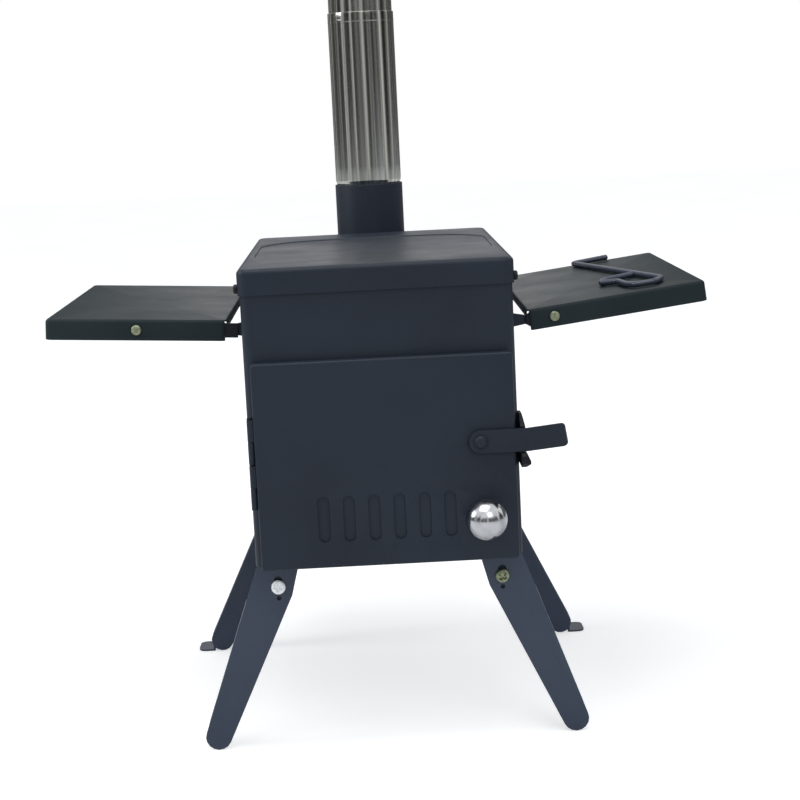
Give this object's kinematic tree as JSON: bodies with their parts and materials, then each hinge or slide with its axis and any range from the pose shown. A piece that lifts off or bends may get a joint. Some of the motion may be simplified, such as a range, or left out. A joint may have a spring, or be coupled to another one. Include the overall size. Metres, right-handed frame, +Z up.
{
  "type": "tent wood stove",
  "caption": "Box-shaped sheet-steel wood stove for a tent: pressed hob, hinged door with sliding air vents and latch, folding side trays, folding splayed legs and a round flue at the back.",
  "frame": {"origin": "on the ground under the middle of the whole part's bounding box", "axes": "+Z up, the door faces -Y, the flue is at the +Y end"},
  "size_m": [0.5054, 0.4446, 0.7403],
  "materials": {
    "coat": "dark slate powder coat, satin",
    "leg_coat": "slate blue powder coat, satin",
    "tray_coat": "grey powder coat, satin, with a soft sheen",
    "dark_coat": "near-black coat on small steel pieces",
    "inside_coat": "dark matt coat on the inner pieces",
    "stainless": "polished stainless steel",
    "zinc": "bright zinc plating",
    "yellow_zinc": "pale yellow passivated zinc"
  },
  "bodies": {
    "stove_body": {"casing_front_and_sides": "coat", "base_plate": "inside_coat", "rear_panel": "coat", "rear_top_plate": "coat", "hob_plate": "coat", "hob_screw_left_front": "dark_coat", "hob_screw_left_rear": "dark_coat", "hob_screw_right_front": "dark_coat", "hob_screw_right_rear": "dark_coat", "ash_grate": "inside_coat", "grate_rail_left": "inside_coat", "grate_rail_right": "inside_coat", "flue_collar": "dark_coat", "door_hinge_lower_body_leaf": "coat", "door_hinge_lower_pin": "dark_coat", "door_hinge_upper_body_leaf": "coat", "door_hinge_upper_pin": "dark_coat", "latch_catch": "dark_coat", "right_tray_short_lug": "coat", "right_tray_short_pin": "dark_coat", "right_tray_long_lug": "coat", "right_tray_long_pin": "dark_coat", "left_tray_short_lug": "coat", "left_tray_short_pin": "dark_coat", "left_tray_long_lug": "coat", "left_tray_long_pin": "dark_coat", "leg_bar_front": "coat", "leg_bar_rear": "coat", "leg_screw_front_left": "zinc", "leg_screw_front_right": "yellow_zinc", "leg_screw_rear_left": "zinc", "leg_screw_rear_right": "yellow_zinc"},
    "door": {"door_pan": "coat", "door_hinge_lower_door_leaf": "coat", "door_hinge_upper_door_leaf": "coat", "air_slide_guide_upper": "inside_coat", "air_slide_guide_lower": "inside_coat", "latch_bolt": "coat"},
    "air_slide": {"air_slide_plate": "coat", "air_slide_knob": "stainless"},
    "latch": {"latch_lever": "coat"},
    "right_tray": {"right_tray_pan": "tray_coat", "right_tray_short_arm": "dark_coat", "right_tray_short_rivet": "yellow_zinc", "right_tray_long_arm": "dark_coat", "right_tray_long_rivet": "yellow_zinc"},
    "left_tray": {"left_tray_pan": "tray_coat", "left_tray_short_arm": "dark_coat", "left_tray_short_rivet": "yellow_zinc", "left_tray_long_arm": "dark_coat", "left_tray_long_rivet": "yellow_zinc"},
    "poker": {"poker": "dark_coat"},
    "leg_front_left": {"leg_front_left": "leg_coat"},
    "leg_front_right": {"leg_front_right": "leg_coat"},
    "leg_rear_left": {"leg_rear_left": "leg_coat"},
    "leg_rear_right": {"leg_rear_right": "leg_coat"},
    "flue_pipe_lower": {"flue_pipe_lower": "stainless"},
    "flue_pipe_upper": {"flue_pipe_upper": "stainless"}
  },
  "joints": [
    {"name": "door_hinge", "type": "hinge", "parent": "stove_body", "child": "door", "pos_m": [-0.09878, -0.18471, 0.235], "axis": [0, 0, -1], "range_deg": [0, 115]},
    {"name": "latch_pivot", "type": "hinge", "parent": "door", "child": "latch", "pos_m": [0.07212, -0.19211, 0.2391], "axis": [0, -1, 0], "range_deg": [-8, 60]},
    {"name": "air_slide", "type": "slide", "parent": "door", "child": "air_slide", "axis": [-1, 0, 0], "range_m": [0, 0.0095]},
    {"name": "right_tray_fold", "type": "hinge", "parent": "stove_body", "child": "right_tray", "pos_m": [0.11832, -0.01071, 0.3226], "axis": [0, 1, 0], "range_deg": [0, 96.8]},
    {"name": "left_tray_fold", "type": "hinge", "parent": "stove_body", "child": "left_tray", "pos_m": [-0.11808, -0.01071, 0.3262], "axis": [0, -1, 0], "range_deg": [0, 93.3]},
    {"name": "poker_lift_off", "type": "slide", "parent": "right_tray", "child": "poker", "axis": [-0.1184, 0, 0.993], "range_m": [0, 0.06]},
    {"name": "leg_front_left_fold", "type": "hinge", "parent": "stove_body", "child": "leg_front_left", "pos_m": [-0.08618, -0.15921, 0.128], "axis": [0, -1, 0], "range_deg": [0, 114]},
    {"name": "leg_front_right_fold", "type": "hinge", "parent": "stove_body", "child": "leg_front_right", "pos_m": [0.08642, -0.15921, 0.128], "axis": [0, 1, 0], "range_deg": [0, 83]},
    {"name": "leg_rear_left_fold", "type": "hinge", "parent": "stove_body", "child": "leg_rear_left", "pos_m": [-0.08618, 0.10879, 0.128], "axis": [0, -1, 0], "range_deg": [0, 119.6]},
    {"name": "leg_rear_right_fold", "type": "hinge", "parent": "stove_body", "child": "leg_rear_right", "pos_m": [0.08642, 0.10879, 0.128], "axis": [0, 1, 0], "range_deg": [0, 46]},
    {"name": "flue_pipe_lower_lift_off", "type": "slide", "parent": "stove_body", "child": "flue_pipe_lower", "axis": [0, 0, 1], "range_m": [0, 0.04]},
    {"name": "flue_pipe_upper_lift_off", "type": "slide", "parent": "flue_pipe_lower", "child": "flue_pipe_upper", "axis": [0, 0, 1], "range_m": [0, 0.03]}
  ]
}
